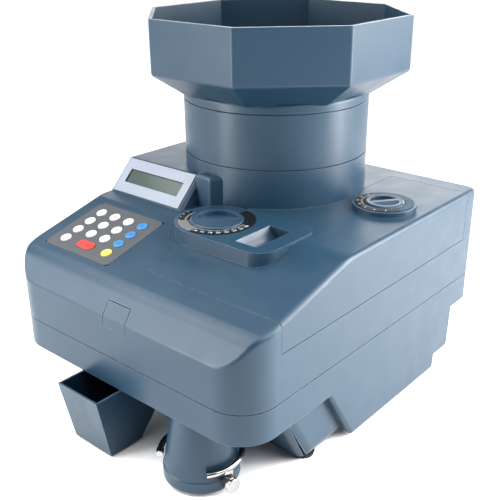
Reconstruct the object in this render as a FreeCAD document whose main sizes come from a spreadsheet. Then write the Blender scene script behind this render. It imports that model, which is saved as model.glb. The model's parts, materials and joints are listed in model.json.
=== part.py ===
import FreeCAD, Part
import math
import os
import re

import Sketcher
from FreeCAD import Placement, Rotation, Vector

# Coin sorting machine, millimetres.
# +Z is up from the ground, -Y is the front, +X is the right-hand side.
# X is measured here from the middle of the housing. The hopper stands out past its left side, so
# every piece is moved by origin_shift when it is written, and the origin is then on the ground at
# the middle of the bounding box.
# Names ending in _back are distances behind the front face, names ending in _z are heights.

DRIVING = {
    # housing
    "origin_shift": 1.95,
    "body_width": 330.0,
    "body_depth": 407.0,
    "front_y": -195.0,
    "shell": 3.0,
    "corner_front": 39.0,
    "corner_rear": 12.0,
    "edge_round": 5.0,
    "foot_z": 4.0,
    "apron_z": 72.3,
    "seam_z": 104.8,
    "crease_z": 147.3,
    "brow_back": 18.0,
    "brow_z": 174.5,
    "bend_back": 145.0,
    "plateau_z": 208.5,
    "shelf_z": 202.5,
    "shelf_back": 190.0,
    "seam_gap": 0.7,
    "reveal": 0.9,
    "reveal_deep": 1.3,
    # block and legs under the housing
    "block_half": 155.0,
    "block_left": 20.0,
    "block_top_back": 60.0,
    "block_foot_back": 100.0,
    "leg_top_back": 119.0,
    "leg_foot_back": 164.0,
    "leg_rear_back": 334.0,
    "step_z": 23.0,
    "step_back": 366.0,
    "foot_radius": 11.0,
    # display console
    "console_right": -52.0,
    "console_back": 150.0,
    "console_z": 235.0,
    "console_rear_back": 300.0,
    # hopper stack
    "hopper_x": -32.5,
    "hopper_y": 87.6,
    "neck_radius": 104.0,
    "neck_wall": 5.0,
    "collar_z": 250.0,
    "ring_z": 310.0,
    "funnel_z": 317.0,
    "hopper_wall_z": 343.0,
    "rim_z": 399.5,
    "hopper_apothem": 136.4,
    "funnel_apothem": 99.0,
    "hopper_wall": 4.0,
    # access door
    "door_left": 2.0,
    "door_front_back": 46.0,
    "door_rear_left": 66.5,
    "door_rear_back": 380.0,
    "door_round": 49.5,
    "door_low_z": 152.0,
    "collar_seam": 105.3,
    "hinge_radius": 1.1,
    "hinge_pin": 0.6,
    # pedestal, diameter knob and thickness knob
    "dial_x": 8.5,
    "dial_back": 136.5,
    "pedestal_radius": 43.0,
    "pedestal_right": 104.0,
    "pedestal_rise": 1.2,
    "dial_radius": 28.0,
    "dial_height": 7.8,
    "gauge_x": 116.5,
    "gauge_back": 282.0,
    "boss_radius": 34.0,
    "boss_height": 5.0,
    "gauge_radius": 21.5,
    "gauge_height": 7.4,
    "knob_sunk": 5.2,
    "knob_rim": 6.0,
    "cup_gap": 0.6,
    "cup_wall": 2.4,
    "scale_thick": 0.6,
    "knob_shaft": 4.0,
    "running_gap": 0.05,
    # keypad
    "pad_x": -94.5,
    "pad_back": 73.0,
    "pad_width": 100.0,
    "pad_length": 83.0,
    "key_pitch_x": 21.8,
    "key_pitch_v": 17.1,
    "key_radius": 6.0,
    "key_play": 0.3,
    # spout and bag clamp
    "spout_x": 84.0,
    "spout_back": 27.0,
    "spout_radius": 36.0,
    "spout_top": 26.8,
    "spout_neck": 26.0,
    "spout_wall": 2.5,
    "clamp_radius": 39.0,
    "clamp_rod": 3.0,
    "clamp_z": 27.0,
    "screw_z": 14.0,
    # reject box
    "box_left": -57.0,
    "box_right": 2.0,
    "box_front_back": -29.0,
    "box_rear_back": 82.0,
    "box_z": 70.0,
    "box_wall": 2.0,
    # mechanism
    "deck_z": 150.0,
    "deck_thick": 4.0,
    "disc_radius": 90.0,
    "disc_shaft": 8.0,
    "pulley_z": 112.0,
    "pulley_thick": 12.0,
    "disc_pulley": 42.0,
    "motor_x": 95.0,
    "motor_y": -20.0,
    "motor_pulley": 14.0,
    "motor_radius": 34.0,
    "roller_radius": 9.0,
    "roller_z": 169.0,
    "roller_front_y": -120.0,
    "roller_rear_y": 60.0,
    "roller_axle": 3.0,
}

doc = FreeCAD.newDocument("coin_sorting_machine")
sheet = doc.addObject("Spreadsheet::Sheet", "dims")
for row, (alias, value) in enumerate(DRIVING.items(), start=1):
    sheet.set("A%d" % row, alias)
    sheet.set("B%d" % row, str(value))
    sheet.setAlias("B%d" % row, alias)
doc.recompute()

NODES = {}


def dim(alias):
    """Value of one driving dimension, read from the sheet."""
    return float(sheet.get(alias))


def back(distance):
    """Y of a point that lies a distance behind the front face."""
    return dim("front_y") + distance


# ---------------------------------------------------------------- helpers


def bind(item, prop, text):
    """Set a property from an expression in which every alias is read from the sheet."""
    if not isinstance(text, str):
        text = repr(float(text))
    names = re.sub(r"[a-z_]{3,}", lambda word: "dims." + word[0] if word[0] in DRIVING else word[0], text)
    item.setExpression(prop, names)


def place(item, x="0", y="0", z="0", rotation=None):
    """Bind an object's position, with an optional fixed rotation."""
    if rotation is not None:
        item.Placement = Placement(Vector(), rotation)
    for axis, text in zip("xyz", (x, y, z)):
        bind(item, "Placement.Base." + axis, text)
    return item


def node(label, item):
    """Name an object as one of the machine's sub-parts."""
    item.Label = label
    NODES[label] = item
    return item


def box(name, corner, size):
    """Box from its low corner and its size."""
    item = doc.addObject("Part::Box", name)
    for prop, text in zip(("Length", "Width", "Height"), size):
        bind(item, prop, text)
    return place(item, *corner)


def rod(name, base, radius, length, rotation=None):
    """Cylinder from the middle of its first end; it stands up unless it is rotated."""
    item = doc.addObject("Part::Cylinder", name)
    bind(item, "Radius", radius)
    bind(item, "Height", length)
    return place(item, *base, rotation=rotation)


ALONG_X = Rotation(Vector(0, 1, 0), 90)
ALONG_Y = Rotation(Vector(1, 0, 0), -90)


def fuse(name, *items):
    """Union of several objects."""
    item = doc.addObject("Part::MultiFuse", name)
    item.Shapes = list(items)
    item.Refine = True
    return item


def group(name, *items):
    """Several separate solids kept as one sub-part."""
    item = doc.addObject("Part::Compound", name)
    item.Links = list(items)
    return item


def cut(name, base, *tools):
    """Base less every tool."""
    item = doc.addObject("Part::Cut", name)
    item.Base = base
    item.Tool = tools[0] if len(tools) == 1 else fuse(name + "_tools", *tools)
    return item


def common(name, first, second):
    """What two objects share."""
    item = doc.addObject("Part::Common", name)
    item.Base = first
    item.Tool = second
    return item


def rounded(name, base, radius, chosen):
    """Fillet the edges of an object that the chosen test accepts."""
    doc.recompute()
    item = doc.addObject("Part::Fillet", name)
    item.Base = base
    picked = [i for i, edge in enumerate(base.Shape.Edges, start=1) if chosen(edge)]
    item.Edges = [(i, radius, radius) for i in picked]
    return item


def wedge(name, low, low_z, high, high_z):
    """Frustum between two rectangles (x0, x1, y0, y1), one above the other."""
    item = doc.addObject("Part::Wedge", name)
    item.Xmin, item.Xmax = low[0], low[1]
    item.Zmin, item.Zmax = -low[3], -low[2]
    item.X2min, item.X2max = high[0], high[1]
    item.Z2min, item.Z2max = -high[3], -high[2]
    bind(item, "Ymin", low_z)
    bind(item, "Ymax", high_z)
    item.Placement = Placement(Vector(), Rotation(Vector(1, 0, 0), 90))
    return item


def octagon(name, apothem, height):
    """Octagon wire with flats square to X and Y, round the hopper's axis."""
    item = doc.addObject("Part::RegularPolygon", name)
    item.Polygon = 8
    bind(item, "Circumradius", "(%s) / cos(22.5 deg)" % apothem)
    return place(item, "hopper_x", "hopper_y", height, Rotation(Vector(0, 0, 1), 22.5))


def loft(name, *sections):
    """Solid with flat sides between sections."""
    item = doc.addObject("Part::Loft", name)
    item.Sections = list(sections)
    item.Solid = True
    item.Ruled = True
    return item


def corner_parts(before, corner, after, radius):
    """Tangent points and arc of a rounded corner."""
    first = (Vector(*before, 0) - corner).normalize()
    second = (Vector(*after, 0) - corner).normalize()
    half = first.getAngle(second) / 2
    reach = radius / math.tan(half)
    start = corner + first * reach
    end = corner + second * reach
    centre = corner + (first + second).normalize() * (radius / math.sin(half))
    middle = centre + (corner - centre).normalize() * radius
    return start, end, Part.Arc(start, middle, end)


def outline(sketch, points):
    """Closed outline through the points; a third value rounds that corner."""
    count = len(points)
    joints = []
    for i, point in enumerate(points):
        corner = Vector(point[0], point[1], 0)
        if len(point) == 3 and point[2] > 0:
            before, after = points[i - 1][:2], points[(i + 1) % count][:2]
            start, end, arc = corner_parts(before, corner, after, point[2])
            sketch.addGeometry(arc, False)
            joints.append((start, end))
        else:
            joints.append((corner, corner))
    for i in range(count):
        begin, finish = joints[i][1], joints[(i + 1) % count][0]
        if (finish - begin).Length > 1e-6:
            sketch.addGeometry(Part.LineSegment(begin, finish), False)


def inset(points, distance):
    """The outline moved inwards by a distance (points go anticlockwise)."""
    count = len(points)
    moved = []
    for i, point in enumerate(points):
        here = Vector(point[0], point[1], 0)
        before = Vector(*points[i - 1][:2], 0)
        after = Vector(*points[(i + 1) % count][:2], 0)
        arrive = (here - before).normalize()
        leave = (after - here).normalize()
        turn = arrive.cross(leave).z
        inward = Vector(-arrive.y, arrive.x, 0) + Vector(-leave.y, leave.x, 0)
        shift = inward * (distance / (1 + arrive.dot(leave)))
        radius = point[2] if len(point) == 3 else 0
        radius = max(radius - distance, 0) if turn > 0 else radius + distance if radius else 0
        moved.append((here.x + shift.x, here.y + shift.y, radius))
    return moved


def new_body(name):
    """Empty PartDesign body."""
    return doc.addObject("PartDesign::Body", name)


def sketch_on(body, role, lift=0.0):
    """Sketch on one of the body's own origin planes, lifted along the plane's normal."""
    sketch = body.newObject("Sketcher::SketchObject", body.Name + "_sketch")
    plane = next(item for item in body.Origin.OriginFeatures if item.Role == role)
    sketch.AttachmentSupport = (plane, "")
    sketch.MapMode = "FlatFace"
    sketch.AttachmentOffset = Placement(Vector(0, 0, lift), Rotation())
    return sketch


def circle(sketch, x, y, radius):
    """Circle with its centre and its radius bound to the sheet."""
    index = sketch.addGeometry(Part.Circle(Vector(1, 1, 0), Vector(0, 0, 1), 1.0), False)
    for kind, prop in (("DistanceX", x), ("DistanceY", y)):
        number = sketch.addConstraint(Sketcher.Constraint(kind, -1, 1, index, 3, 1.0))
        bind(sketch, "Constraints[%d]" % number, prop)
    number = sketch.addConstraint(Sketcher.Constraint("Radius", index, 1.0))
    bind(sketch, "Constraints[%d]" % number, radius)


def pad(body, sketch, length):
    """Pad a sketch along its plane's normal."""
    feature = body.newObject("PartDesign::Pad", body.Name + "_pad")
    feature.Profile = sketch
    bind(feature, "Length", length)
    return feature


def pocket(body, sketch, length, forward=True):
    """Pocket a sketch, along its plane's normal if forward."""
    feature = body.newObject("PartDesign::Pocket", body.Name + "_pocket")
    feature.Profile = sketch
    feature.Reversed = forward
    bind(feature, "Length", length)
    return feature


def prism(name, role, points, lift, length):
    """Body padded from one outline on an origin plane."""
    body = new_body(name)
    sketch = sketch_on(body, role, lift)
    outline(sketch, points)
    pad(body, sketch, length)
    return body


def turned(name, profile, x="0", y="0", z="0"):
    """Body turned about its own Z axis from a profile of (radius, height) points."""
    body = new_body(name)
    sketch = sketch_on(body, "XZ_Plane")
    outline(sketch, profile)
    feature = body.newObject("PartDesign::Revolution", name + "_turn")
    feature.Profile = sketch
    feature.ReferenceAxis = (sketch, ["V_Axis"])
    feature.Angle = 360
    return body if x is None else place(body, x, y, z)


# ---------------------------------------------------------------- outlines


def plan_outline(margin=0.0):
    """Plan of the housing: a rectangle with round corners."""
    half = dim("body_width") / 2
    near, far = dim("front_y"), back(dim("body_depth"))
    front, rear = dim("corner_front"), dim("corner_rear")
    corners = [(-half, near, front), (half, near, front), (half, far, rear), (-half, far, rear)]
    return inset(corners, margin) if margin else corners


def side_outline(margin=0.0):
    """Side view (Y, Z) of the upper shell: front face, brow, slope, plateau and rear."""
    near, far = dim("front_y"), back(dim("body_depth"))
    low = dim("seam_z")
    points = [
        (near, low),
        (far, low),
        (far, dim("plateau_z")),
        (back(dim("bend_back")), dim("plateau_z"), 60),
        (back(dim("brow_back")), dim("brow_z"), 22),
        (near, dim("crease_z")),
    ]
    if margin:
        points = inset(points, margin)
        points[0] = (points[0][0], low - 1, 0)
        points[1] = (points[1][0], low - 1, 0)
    return points


SLOPE = math.atan2(dim("plateau_z") - dim("brow_z"), dim("bend_back") - dim("brow_back"))
SLOPE_TURN = Rotation(Vector(1, 0, 0), math.degrees(SLOPE))
FACE_TURN = Rotation(Vector(1, 0, 0), 45)


def slope_z(distance):
    """Height of the front slope at a distance behind the front face."""
    return dim("brow_z") + (distance - dim("brow_back")) * math.tan(SLOPE)


# ---------------------------------------------------------------- lower housing


def block_outline(margin=0.0):
    """Side view of the right-hand block under the housing."""
    top = dim("apron_z") + dim("shell")
    points = [
        (back(dim("block_foot_back")), dim("foot_z"), 4),
        (back(dim("leg_rear_back")) - 8, dim("foot_z")),
        (back(dim("leg_rear_back")) - 8, top),
        (back(dim("block_top_back")), top),
    ]
    return inset(points, margin) if margin else points


def leg_outline(margin=0.0):
    """Side view of the legs, which are flush with the side walls."""
    top = dim("apron_z") + dim("shell")
    points = [
        (back(dim("leg_foot_back")), dim("foot_z"), 4),
        (back(dim("leg_rear_back")), dim("foot_z"), 4),
        (back(dim("leg_rear_back")) + 2, dim("step_z")),
        (back(dim("step_back")) - 3, dim("step_z"), 4),
        (back(dim("step_back")), top),
        (back(dim("leg_top_back")), top),
    ]
    return inset(points, margin) if margin else points


def make_base():
    """Lower housing: tray with apron, right-hand block, legs, floor holes."""
    half, wall = dim("body_width") / 2, dim("shell")
    tray = prism("base_tray", "XY_Plane", plan_outline(), dim("apron_z"), "seam_z - apron_z")
    block = prism("base_block", "YZ_Plane", block_outline(), dim("block_left"), "block_half - block_left")
    legs = prism("base_legs", "YZ_Plane", leg_outline(), -half, "body_width")
    solid = fuse("base_solid", tray, rounded("block_soft", block, 13.0, front_upright),
                 rounded("legs_soft", legs, 4.0, front_upright))
    rise = "seam_z - apron_z - shell + 1"
    room = prism("base_room", "XY_Plane", plan_outline(wall), dim("apron_z") + wall, rise)
    block_room = prism("block_room", "YZ_Plane", stretched(block_outline(wall)), dim("block_left") + wall,
                       "block_half - block_left - 2 * shell")
    leg_room = prism("leg_room", "YZ_Plane", stretched(leg_outline(wall)), -half + wall, "body_width - 2 * shell")
    spout_hole = rod("spout_hole", ("spout_x", "front_y + spout_back", "apron_z - 1"), "spout_neck", "shell + 2")
    reject_hole = box("reject_hole", (-46, back(9), "apron_z - 1"), (34, 26, "shell + 2"))
    inlet_hole = box("inlet_hole", (-116, back(dim("body_depth")) - 10, 79), (28, 12, 21))
    switch_hole = box("switch_hole", (-76, back(dim("body_depth")) - 10, 81), (22, 12, 16))
    seam_low = dim("seam_z") - dim("reveal")
    reveal = cut("seam_reveal", prism("reveal_outside", "XY_Plane", plan_outline(-2.0), seam_low, "3"),
                 prism("reveal_inside", "XY_Plane", plan_outline(dim("reveal_deep")), seam_low - 1, "5"))
    node("base_housing", cut("base_housing", solid, room, block_room, leg_room, spout_hole, reject_hole,
                             inlet_hole, switch_hole, reveal))


def front_upright(edge):
    """Sloping corner edges at the front of the block and of the legs."""
    box_of = edge.BoundBox
    return box_of.XLength < 1e-3 and box_of.ZLength > 50 and box_of.YLength > 10 and box_of.YMin < back(130)


def stretched(points):
    """Inner side view raised so that the room opens into the tray above it."""
    top = max(point[1] for point in points)
    raised = dim("apron_z") + dim("shell") + 1
    return [(y, raised if abs(z - top) < 0.01 else z, r) for y, z, r in points]


def make_feet():
    """Rubber feet, one under each corner of the block and legs."""
    feet = []
    spots = ((141, 114), (-148, 182), (148, 316), (-148, 316))
    for number, (x, distance) in enumerate(spots, start=1):
        foot = doc.addObject("Part::Cone", "foot_%d" % number)
        bind(foot, "Radius1", "foot_radius - 1")
        bind(foot, "Radius2", "foot_radius")
        bind(foot, "Height", "foot_z")
        feet.append(place(foot, x, back(distance), 0))
    node("rubber_feet", group("rubber_feet", *feet))


# ---------------------------------------------------------------- upper shell and door


def on_top_edge(edge):
    """Outer rim where the top surface meets the front, side and rear walls."""
    box_of = edge.BoundBox
    upright = box_of.XLength < 1e-3 and box_of.YLength < 1e-3
    level = box_of.ZMax < dim("seam_z") + 1e-3
    across = box_of.XLength > dim("body_width") - 90 and box_of.YLength < 1e-3
    front_or_rear = across and box_of.YMin < back(1) or across and box_of.YMax > back(dim("body_depth")) - 1
    return not upright and not level and (not across or front_or_rear)


def make_shell():
    """Thin upper shell over the whole machine, before the door is cut out of it."""
    plan = prism("shell_plan", "XY_Plane", plan_outline(), dim("seam_z"), "plateau_z - seam_z + 5")
    side = prism("shell_side", "YZ_Plane", side_outline(), -dim("body_width") / 2 - 1, "body_width + 2")
    full = rounded("shell_full", common("shell_block", plan, side), dim("edge_round"), on_top_edge)
    wall = dim("shell")
    outer = cut("shell_outer", full, shelf_space("shelf_space", 0))
    inner_plan = prism("shell_inner_plan", "XY_Plane", plan_outline(wall), dim("seam_z") - 1, "plateau_z - seam_z + 1")
    inner_side = prism("shell_inner_side", "YZ_Plane", side_outline(wall), -dim("body_width") / 2, "body_width")
    inner = cut("shell_inner", common("shell_inner_full", inner_plan, inner_side), shelf_space("shelf_room", wall))
    return outer, inner


def shelf_space(name, margin):
    """Space over the low shelf between the keypad and the console, grown by a margin."""
    left = -dim("body_width") / 2 - 5
    return box(name, (left, back(110) - margin, dim("shelf_z") - margin),
               (dim("dial_x") - left + margin, dim("shelf_back") - 110 + 2 * margin, 40))


def door_zone(gap):
    """Space taken by the access door, less a gap along its seam."""
    name = "door_zone_%d" % round(gap * 10)
    top = "plateau_z + 20"
    low = dim("door_low_z") + dim("hinge_radius") + 0.1 if gap else dim("door_low_z")
    height = "plateau_z + 20 - %s" % low
    front = box(name + "_front", ("door_left + %s" % gap, back(dim("door_front_back")) + gap, low),
                (200, "hopper_y - front_y - door_front_back", height))
    rear = box(name + "_rear", ("door_rear_left + %s" % gap, "hopper_y - 5", low),
               (140, "front_y + door_rear_back - hopper_y + 5 - %s" % gap, height))
    round_end = rod(name + "_round", ("dial_x", "front_y + dial_back", low), "door_round - %s" % gap, height)
    collar = rod(name + "_collar", ("hopper_x", "hopper_y", low - 1), "collar_seam + %s" % gap, "120")
    return cut(name, fuse(name + "_whole", front, rear, round_end), collar)


def pedestal_outline(margin=0.0):
    """Plan of the raised pedestal that carries the diameter knob and the finger recess."""
    radius, x, y = dim("pedestal_radius"), dim("dial_x"), back(dim("dial_back"))
    right = dim("pedestal_right")
    front = y - radius
    corners = [(x - radius, front, radius - 0.5), (right, front, 20), (right, y + radius, 14),
               (x - radius, y + radius, radius - 0.5)]
    return inset(corners, margin) if margin else corners


def make_door(outer, inner):
    """Access door: part of the shell with pedestal, finger recess and thickness boss."""
    door_skin = common("door_skin", cut("door_shell", outer, inner), door_zone(dim("seam_gap")))
    wall = dim("shell")
    low = 176.0
    top = "plateau_z + pedestal_rise"
    pedestal = prism("pedestal", "XY_Plane", pedestal_outline(), low, "%s - %s" % (top, low))
    pedestal_room = prism("pedestal_room", "XY_Plane", pedestal_outline(wall), low - 1,
                          "%s - shell - %s" % (top, low - 1))
    above = cut("pedestal_shell", pedestal, pedestal_room)
    below = prism("pedestal_trim", "YZ_Plane", side_outline(wall), -50, "300")
    pedestal_skin = cut("pedestal_skin", above, below)
    boss = rod("gauge_boss", ("gauge_x", "front_y + gauge_back", "plateau_z - 1"), "boss_radius", "boss_height + 1")
    boss_room = rod("boss_room", ("gauge_x", "front_y + gauge_back", "plateau_z - shell - 1"),
                    "boss_radius - shell", "boss_height + 1")
    recess_out = box("recess_out", (57.5, back(104.5), 190), (31.5, 57, "%s - 190" % top))
    edge_z = dim("plateau_z") + dim("pedestal_rise")
    ramp = [(60, edge_z + 9), (60, edge_z), (67.5, 194.5, 16), (86.5, 192.5), (86.5, edge_z + 9)]
    recess = prism("recess", "XZ_Plane", ramp, -back(159), "52")
    barrel = rod("door_barrel", (dim("body_width") / 2 - dim("hinge_radius"), "front_y + door_front_back + seam_gap",
                                 "door_low_z + hinge_radius + 0.1"), "hinge_radius",
                 "door_rear_back - door_front_back - 2 * seam_gap", ALONG_Y)
    room_hollow = prism("door_hollow", "XY_Plane", pedestal_outline(wall), 150, "%s - shell - 150" % top)
    dial_cup, dial_room = knob_cup("dial", top)
    gauge_cup, gauge_room = knob_cup("gauge", "plateau_z + boss_height")
    pin_bores = [rod("door_pin_bore_%d" % i, (dim("body_width") / 2 - dim("hinge_radius"), y,
                                             "door_low_z + hinge_radius + 0.1"),
                     "hinge_pin + running_gap", 8, ALONG_Y)
                 for i, y in enumerate((back(dim("door_front_back")), back(dim("door_rear_back")) - 8))]
    opened = cut("door_opened", door_skin, room_hollow)
    joined = fuse("door_joined", opened, pedestal_skin, boss, barrel)
    hollowed = cut("door_hollowed", joined, boss_room)
    with_cups = fuse("door_with_cups", hollowed, recess_out, dial_cup, gauge_cup)
    node("access_door", cut("access_door", with_cups, recess, dial_room, gauge_room, *pin_bores))


def knob_cup(knob, top):
    """Round cup that a knob sits in, and the space inside it with the bore for the shaft."""
    centre = (knob + "_x", "front_y + %s_back" % knob)
    floor = "%s - knob_sunk - 1" % top
    cup = rod(knob + "_cup", (*centre, "%s - 2" % floor), "%s_radius + cup_gap + cup_wall" % knob, "knob_sunk + 3")
    inside = rod(knob + "_cup_room", (*centre, floor), "%s_radius + cup_gap" % knob, "knob_sunk + 5")
    bore = rod(knob + "_bore", (*centre, 150), "knob_shaft + running_gap", "100")
    return cup, fuse(knob + "_cup_space", inside, bore)


def make_cover(outer, inner):
    """Top cover: the rest of the shell with the display console and the hopper collar."""
    wall = dim("shell")
    half = dim("body_width") / 2
    rear = dim("console_rear_back")
    low = 190.0
    rise = dim("console_z") - dim("plateau_z")
    console_side = [
        (back(dim("console_back") - (dim("plateau_z") - low)), low),
        (back(rear + 30), low),
        (back(rear + 30), dim("plateau_z")),
        (back(rear), dim("console_z"), 14),
        (back(dim("console_back") + rise), dim("console_z"), 4),
    ]
    width = dim("console_right") + half
    console_plan = [(-half, back(100), 0), (dim("console_right"), back(100), 0), (dim("console_right"), back(345), 0),
                    (-half, back(345), 0)]
    console = common("console", prism("console_side", "YZ_Plane", console_side, -half, width),
                     prism("console_plan", "XY_Plane", console_plan, low, 60))
    soft = rounded("console_soft", console, 4.0, lambda edge: console_edge(edge, low))
    console_room = common(
        "console_room",
        prism("console_room_side", "YZ_Plane", inset(console_side, wall), -half + wall, width - 2 * wall),
        prism("console_room_plan", "XY_Plane", inset(console_plan, wall), low - 8, 60))
    under = box("console_under", (-half + wall, back(160), 180), (width - 2 * wall, 160, 30))
    collar = rod("collar", ("hopper_x", "hopper_y", "plateau_z - shell"), "neck_radius", "collar_z - plateau_z + shell")
    bore = rod("collar_bore", ("hopper_x", "hopper_y", 150), "neck_radius - neck_wall", "150")
    whole = fuse("cover_whole", outer, soft, collar, collar_bridge())
    tab_gap = box("tab_gap", (-15, back(-1), 137.5), (32, 14, 24))
    window = display_slab("console_window", 88.0, 24.0, -10.0, 20.0)
    keypad_bay = slope_slab("keypad_bay", "pad_width + 0.6", "pad_length + 0.6", -0.9, 20.0)
    key_field = slope_slab("key_field", "pad_width - 10", "pad_length - 8", -20.0, 40.0)
    pins = [rod("cover_pin_bore_%d" % i, (half - dim("hinge_radius"), y, "door_low_z + hinge_radius + 0.1"),
                "hinge_pin", 7, ALONG_Y)
            for i, y in enumerate((back(dim("door_front_back")) - 7, back(dim("door_rear_back"))))]
    node("top_cover", cut("top_cover", whole, inner, console_room, under, bore, door_zone(0), tab_gap, window,
                          keypad_bay, key_field, *pins))


def collar_bridge():
    """Rounded block between the console's side and the hopper collar."""
    side, low, top = dim("console_right"), 200.0, dim("console_z") + 3.5
    plan = [(side - 6, back(180), 0), (side, back(180), 0), (side, back(169.5), 0), (side + 21, back(168.5), 5),
            (side + 34, back(183), 0), (side + 34, back(206), 0), (side - 6, back(206), 0)]
    block = prism("bridge_block", "XY_Plane", plan, low, top - low)
    return rounded("bridge_soft", block, 4.0, lambda edge: front_top_edge(edge, top))


def front_top_edge(edge, top):
    """Front and right-hand edges of a block's top."""
    box_of = edge.BoundBox
    return box_of.ZMin > top - 0.01 and box_of.YMax < back(193) and box_of.XMin > dim("console_right") - 0.01


def console_edge(edge, low):
    """Edges of the console that are seen: sloping sides and the top's right-hand edge."""
    box_of = edge.BoundBox
    right = box_of.XMin > dim("console_right") - 0.01
    return right and box_of.ZMax > low + 1 and box_of.YMax < back(dim("console_rear_back")) + 1 and box_of.YLength > 1


def slope_slab(name, width, length, low, height):
    """Slab parallel to the front slope, centred on the keypad, from a depth upwards."""
    centre = FreeCAD.Vector(0, 0, 0)
    item = doc.addObject("Part::Box", name)
    bind(item, "Length", width)
    bind(item, "Width", length)
    item.Height = height
    corner = SLOPE_TURN.multVec(Vector(0, 0, low)) + centre
    side = SLOPE_TURN.multVec(Vector(0, 1, 0))
    item.Placement = Placement(Vector(), SLOPE_TURN)
    bind(item, "Placement.Base.x", "pad_x - (%s) / 2" % width)
    bind(item, "Placement.Base.y", "front_y + pad_back + %r - (%s) / 2 * %r" % (corner.y, length, side.y))
    bind(item, "Placement.Base.z", "%r + %r - (%s) / 2 * %r" % (slope_z(dim("pad_back")), corner.z, length, side.z))
    return item


def display_point(along, out):
    """Point on the console's display face: along it from its lower edge, and out of it."""
    start = Vector(0, back(dim("console_back")), dim("plateau_z"))
    return start + FACE_TURN.multVec(Vector(0, along, out))


DISPLAY_X = -110.0
DISPLAY_ALONG = 14.8


def display_slab(name, width, length, low, height, along=DISPLAY_ALONG):
    """Slab parallel to the display face, from a level under or over it."""
    item = doc.addObject("Part::Box", name)
    item.Length, item.Width, item.Height = width, length, height
    item.Placement = Placement(display_point(along - length / 2, low) + Vector(DISPLAY_X - width / 2, 0, 0), FACE_TURN)
    return item


def make_latch(outer, inner):
    """Push tab of the door's latch, in the middle of the front."""
    gap, under = 0.8, 0.25
    zone = box("tab_zone", (-15 + gap, back(-1), 137.5 + under), (32 - 2 * gap, 14, 24 - gap - under))
    skin = common("tab_skin", cut("tab_shell", outer, inner), zone)
    node("latch_tab", skin)


def make_hinge_pins():
    """Two steel pins on which the access door swings."""
    x = dim("body_width") / 2 - dim("hinge_radius")
    level = "door_low_z + hinge_radius + 0.1"
    front = rod("hinge_pin_front", (x, back(dim("door_front_back")) - 6, level), "hinge_pin", 13, ALONG_Y)
    rear = rod("hinge_pin_rear", (x, back(dim("door_rear_back")) - 7, level), "hinge_pin", 13, ALONG_Y)
    node("door_hinge_pins", group("door_hinge_pins", front, rear))


# ---------------------------------------------------------------- hopper


def make_hopper():
    """Octagonal hopper with a funnel and a round neck, and the spacer ring under it."""
    rise = dim("funnel_z") - dim("ring_z") + 2
    neck = [(0, 0), (dim("neck_radius"), 0), (dim("neck_radius"), rise, 4),
            (dim("neck_radius") - 9, rise + 2), (0, rise + 2)]
    outer = fuse(
        "hopper_solid",
        loft("hopper_wall_solid", octagon("octagon_a", "hopper_apothem", "hopper_wall_z"),
             octagon("octagon_b", "hopper_apothem", "rim_z")),
        loft("hopper_funnel_solid", octagon("octagon_c", "funnel_apothem", "funnel_z"),
             octagon("octagon_d", "hopper_apothem", "hopper_wall_z")),
        turned("hopper_neck", neck, "hopper_x", "hopper_y", "ring_z"))
    soft = rounded("hopper_soft", outer, 5.0, outer_corner)
    wall = "hopper_apothem - hopper_wall"
    room = fuse(
        "hopper_room",
        loft("hopper_wall_room", octagon("octagon_e", wall, "hopper_wall_z + 2"), octagon("octagon_f", wall, "rim_z + 1")),
        loft("hopper_funnel_room", octagon("octagon_g", "funnel_apothem - 9", "funnel_z - 2"),
             octagon("octagon_h", wall, "hopper_wall_z + 2")),
        rod("hopper_throat", ("hopper_x", "hopper_y", "ring_z - 1"), "neck_radius - neck_wall - 6", 40))
    shell = cut("hopper_shell", soft, room)
    spigot = turned("hopper_spigot", ring_profile(90.0, dim("neck_radius") - dim("neck_wall") - 0.4, 0, 12),
                    "hopper_x", "hopper_y", "ring_z - 10")
    node("hopper", cut("hopper", fuse("hopper_whole", shell, spigot),
                       rod("hopper_bore", ("hopper_x", "hopper_y", "ring_z - 11"), "neck_radius - neck_wall - 6", 20)))
    inside, outside = dim("neck_radius") - dim("neck_wall"), dim("neck_radius")
    height = dim("ring_z") - dim("collar_z")
    lip = inside - 0.4
    step, deep = dim("reveal"), dim("reveal_deep")
    top = height - 0.4
    profile = [(lip - 3, -10), (lip, -10), (lip, 0), (outside - deep, 0), (outside - deep, step),
               (outside, step, 0.4), (outside, top - step, 0.6), (outside - deep, top - step),
               (outside - deep, top), (inside, top), (inside, height - 14), (lip - 3, height - 17)]
    node("hopper_ring", turned("hopper_ring", profile, "hopper_x", "hopper_y", "collar_z"))


def ring_profile(inside, outside, low, high):
    """Rectangular profile of a plain ring."""
    return [(inside, low), (outside, low), (outside, high), (inside, high)]


def outer_corner(edge):
    """Upright edges of the octagon and its lower edge."""
    box_of = edge.BoundBox
    upright = box_of.ZLength > 50
    low = box_of.ZLength < 1e-3 and abs(box_of.ZMin - dim("hopper_wall_z")) < 0.01
    return upright or low


# ---------------------------------------------------------------- display and keypad


def make_display():
    """Bezel and display module on the console's sloping face."""
    plate = display_slab("bezel_plate", 105.5, 43.0, 0.0, 1.0)
    hole = display_slab("bezel_hole", 84.5, 17.5, -1.0, 4.0)
    node("display_bezel", cut("display_bezel", plate, hole))
    module = fuse("display_module", display_slab("display_glass", 87.4, 20.0, -2.2, 2.0),
                  display_slab("display_board", 86.0, 20.0, -6.2, 4.0))
    node("display_module", module)


def slope_frame(u, v, lift):
    """Placement on the front slope: u to the right, v up the slope, from the keypad's centre."""
    origin = Vector(dim("pad_x"), back(dim("pad_back")), slope_z(dim("pad_back")))
    return Placement(origin + SLOPE_TURN.multVec(Vector(u, v, lift)), SLOPE_TURN)


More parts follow.
